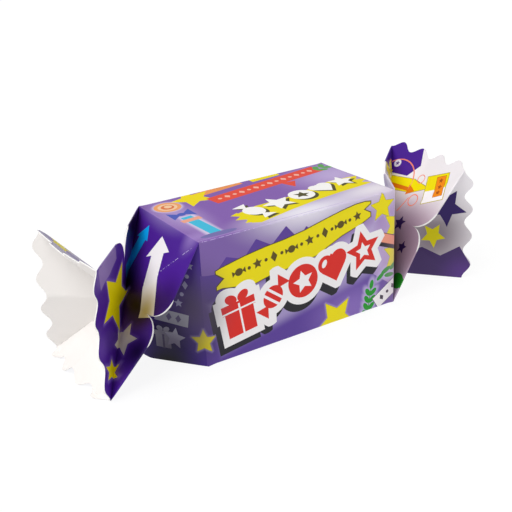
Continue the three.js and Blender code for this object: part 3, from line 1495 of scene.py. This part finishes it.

# Painted shade turns the white neck mauve and warm brown low down, fading to white at its top; over
# it, a violet cloud and a garland. Below it, stars and a zigzag on the flare's white front panel,
# which painted shade turns grey.
RIGHT_FOLD: Layers = (
    # Painted light and shade on the white neck: white and cream near its top edge, mauve-grey with
    # warm brown lower down
    TintAndLightWash("#E9E4EC", 70, 58, 16, 9, 1),
    TintAndLightWash("#A88EA2", 76, 98, 40, 56, 1),
    TintAndLightWash("#A88EA2", 76, 98, 34, 46, 1),
    TintAndLightWash("#A68072", 68, 92, 13, 12, 0.8),
    TintAndLightWash("#C2A468", 70, 71, 11, 7, 0.6),
    Area("#481E8E",
         ((97, 52), (128, 52)),
         ((97, 57), (109.2, 66), (110.4, 76.8), (117.8, 81.4), (128, 76.6))),
    Ink(YELLOW, (box(98.8, 61.6, 4.4, 2.5, 56), box(107, 62.8, 3.4, 3.4, 86),
                 box(105.2, 75.2, 8.8, 3.7, 81), wedge(106.9, 87.2, 8.6, 3.9, 80)),
        outline=0.25, outline_colour="#8A7C1C"),
    Ink("#DE7410", (box(103.7, 76, 6, 1.1, 86), wedge(104, 83.6, 3.4, 3, 84))),
    Ink("#EE8468", (disc(106.6, 70.6, 11.8), disc(110.6, 70.6, 3.2), disc(111.4, 86.8, 2.6),
                    disc(99.8, 89.8, 3.4), box(95.8, 84.6, 4.6, 0.3, 16)),
        cut=(disc(106.6, 70.6, 11.1), disc(110.4, 70.6, 2.5), disc(111.4, 86.8, 2.1),
             disc(99.8, 89.8, 2.8), box(99.2, 70, 10, 12))),
    Ink("#E2DCE6", (disc(115, 66.5, 2.2),)),
    Ink("#5A3C86", (star(115, 66.5, 1.4),)),
    Ink(WHITE, (box(109.2, 100.3, 7.9, 6.7, -24),), outline=0.45, outline_colour="#B4A822"),
    Ink(YELLOW, (box(112.6, 98.8, 4.2, 6.7, -24),)),
    Ink("#F08A14", (box(110.9, 102.4, 6, 2.8, -26),), outline=0.2, outline_colour="#8A5A10"),
    Ink("#A8500E", tuple(star(110.9 + 3.3 * n, 102.4 - 1.6 * n, 1.5) for n in (-1, 0, 1))),
    Ink("#2C1452", (star(86, 91.2, 4.2, -80), star(75.4, 100.8, 3.4, -70))),
    Ink("#20801F", (disc(60, 108.4, 3.6, 4.6, 20), disc(57.4, 101, 2.2, 4, 30))),
    # Painted shade greys the flare's white front panel
    TintAndLightWash("#8E838B", 108, 148, 32, 32, 1),
    Ink("#2F1A60", (star(113.4, 132, 10.8, 14),)),
    Ink("#E0D600", (star(107.4, 147.2, 6.4, -60),)),
    Area("#453264",
         ((94, 156), (102.2, 153.2), (111.5, 157.2), (121, 152.2), (128, 163)),
         ((94, 170), (128, 170))),
    TintAndLightWash("#5A3A86", 124, 166, 16, 12, 0.8),
    Ink("#2C1452", (star(84, 132, 4), star(72, 150, 5))),
)

# Along the body's long edges beside the front, pale cracks that are also a painted highlight; across
# the left neck, scratches along a crease
WORN_AND_HIGHLIGHTED_FOLDS: Layers = (
    WearAndHighlight("#CDBFE6", (box(0, 56, 50.6, 0.12), box(0, 112, 50.6, 0.1)), 0.5),
    WearAndHighlight("#B6A2D8", (box(-14, 54.4, 36, 0.14),), 0.75),
    WearAndHighlight("#C9BCE2", (box(-61.6, 47.2, 10, 0.14, 37.7),), 0.5),
)

# All layers, the print with its painted light and shade, the lowest first
ARTWORK_AND_PAINTED_LIGHT: Layers = (
    *TOP_PAINTED_SHEEN, *FRONT_GROUND_AND_PAINTED_LIGHT, *FRONT,
    *(turned(layer) for layer in (*FRONT_GROUND_AND_PAINTED_LIGHT, *FRONT)), *TOP, *BOTTOM, *LEFT_FOLD, *RIGHT_FOLD,
    Glow(PALE, HIDDEN_STARS, 2, 0.6), Ink(YELLOW, HIDDEN_STARS), *WORN_AND_HIGHLIGHTED_FOLDS,
)


@dataclass(frozen=True)
class Sun:
    """A broad, even light.

    towards is the direction from the pack to the light, and spread how broad it looks from there.
    """

    name: str
    towards: tuple[float, float, float]
    spread: float
    strength: float

    def add(self) -> None:
        """Adds the light to the scene."""
        data = bpy.data.lights.new(self.name, "SUN")
        data.angle, data.energy = math.radians(self.spread), self.strength
        light = bpy.data.objects.new(self.name, data)
        bpy.context.scene.collection.objects.link(light)
        light.location = Vector(self.towards)
        light.rotation_euler = Vector(self.towards).to_track_quat("Z", "Y").to_euler()


@dataclass(frozen=True)
class Studio:
    """Camera, floor and lights. Its lengths are in metres, and the sensor's width in mm."""

    camera_place: tuple[float, float, float] = (-0.19146, -0.30565, 0.18010)
    azimuth: float = 31.03
    elevation: float = 22.86
    roll: float = 3.03
    focal_px: float = 849.6
    frame_px: int = 512
    sensor: float = 36.0
    nearest: float = 0.01
    floor_size: float = 40.0
    floor_gap: float = 0.0002
    floor: BareBoard = BareBoard("backlit_white_sweep", "#5C5C5C", roughness=0.9, fibres=0.0, glow=0.9)
    suns: tuple[Sun, ...] = (
        Sun("key_from_the_left", (-0.50, -0.02, 0.85), spread=50.0, strength=2.5),
        Sun("fill_from_the_front", (0.45, -0.85, 0.35), spread=70.0, strength=0.6),
    )
    surroundings: float = 0.25

    def add_camera(self) -> None:
        """Adds the camera with the photograph's view."""
        data = bpy.data.cameras.new("camera")
        data.sensor_width = self.sensor
        data.lens = self.focal_px / self.frame_px * self.sensor
        data.clip_start = self.nearest
        camera = bpy.data.objects.new("camera", data)
        bpy.context.scene.collection.objects.link(camera)
        az, el, roll = (math.radians(v) for v in (self.azimuth, self.elevation, self.roll))
        forward = Vector((
            math.sin(az) * math.cos(el), math.cos(az) * math.cos(el), -math.sin(el)
        ))
        right = forward.cross(Vector((0, 0, 1))).normalized()
        down = forward.cross(right)
        x = right * math.cos(roll) + down * math.sin(roll)
        y = right * math.sin(roll) - down * math.cos(roll)
        turn = Matrix((x, y, -forward)).transposed().to_4x4()
        camera.matrix_world = Matrix.Translation(self.camera_place) @ turn
        bpy.context.scene.camera = camera

    def add_floor(self) -> None:
        """Adds the plain pale floor, a hair below the pack."""
        bpy.ops.mesh.primitive_plane_add(size=self.floor_size, location=(0, 0, -self.floor_gap))
        floor = bpy.context.object
        floor.name = "floor"
        floor.data.materials.append(self.floor.material())
        floor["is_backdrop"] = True

    def add_light(self) -> None:
        """Adds the lights and the pale surroundings."""
        for sun in self.suns:
            sun.add()
        world = bpy.data.worlds.new("surroundings")
        world.use_nodes = True
        background = world.node_tree.nodes["Background"]
        background.inputs["Color"].default_value = (1, 1, 1, 1)
        background.inputs["Strength"].default_value = self.surroundings
        bpy.context.scene.world = world
        bpy.context.scene.view_settings.view_transform = "Standard"


LEFT_LIE = Lie(
    shorten=(1.4, 2.8, 0.0, 0.0),
    dent=(3.3, 2.3, 5.2, 3.3),
    slip=(0.6, 1.2, 2.6, 3.6),
    lean=(-5.0, 0.0, 0.0, 0.0),
    pull=(-2.4, -1.8, -1.0, -1.0),
    soft=(0.8, 0.8, 0.8, 2.6),
)
RIGHT_LIE = Lie(
    shorten=(1.1, 0.0, 2.8, 1.6),
    dent=(5.0, 1.2, 3.3, 3.0),
    slip=(2.0, 2.3, 4.1, 1.2),
    lean=(0.0, -2.5, -6.5, 0.0),
    pull=(-1.0, -3.5, -1.8, -1.0),
    soft=(0.8, 0.8, 0.8, 0.8),
)


def main() -> None:
    """Builds the pack, dresses it and sets up the studio."""
    logging.basicConfig(level=logging.INFO, format="%(name)s: %(message)s")
    blank = Blank()
    ends = (TwistEnd(Side.LEFT, blank, LEFT_LIE), TwistEnd(Side.RIGHT, blank, RIGHT_LIE))
    sheet = Sheet(blank, GlossPrint(), PAPERS, ARTWORK_AND_PAINTED_LIGHT)
    materials = [sheet.material(strip, zone) for strip in range(PANELS) for zone in Zone]
    inside = BareBoard("uncoated_white_board", "#ECE8E5", roughness=0.8, fibres=0.12)
    cut_edge = BareBoard("cut_edge_of_white_board", "#F6F4F2", roughness=0.9, fibres=0.2)
    materials += [inside.material(), cut_edge.material()]
    carton = Carton(blank, ends, materials).build()
    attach(carton, "root")
    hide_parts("carton")
    log.info("%s: %d faces", carton.name, len(carton.data.polygons))
    studio = Studio()
    studio.add_camera()
    studio.add_floor()
    studio.add_light()
    boxes = {"cad": CAD_BOUNDS, "visual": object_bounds()}
    {k: [list(map(float, p)) for p in v] for k, v in boxes.items()}


if __name__ == "__main__":
    main()
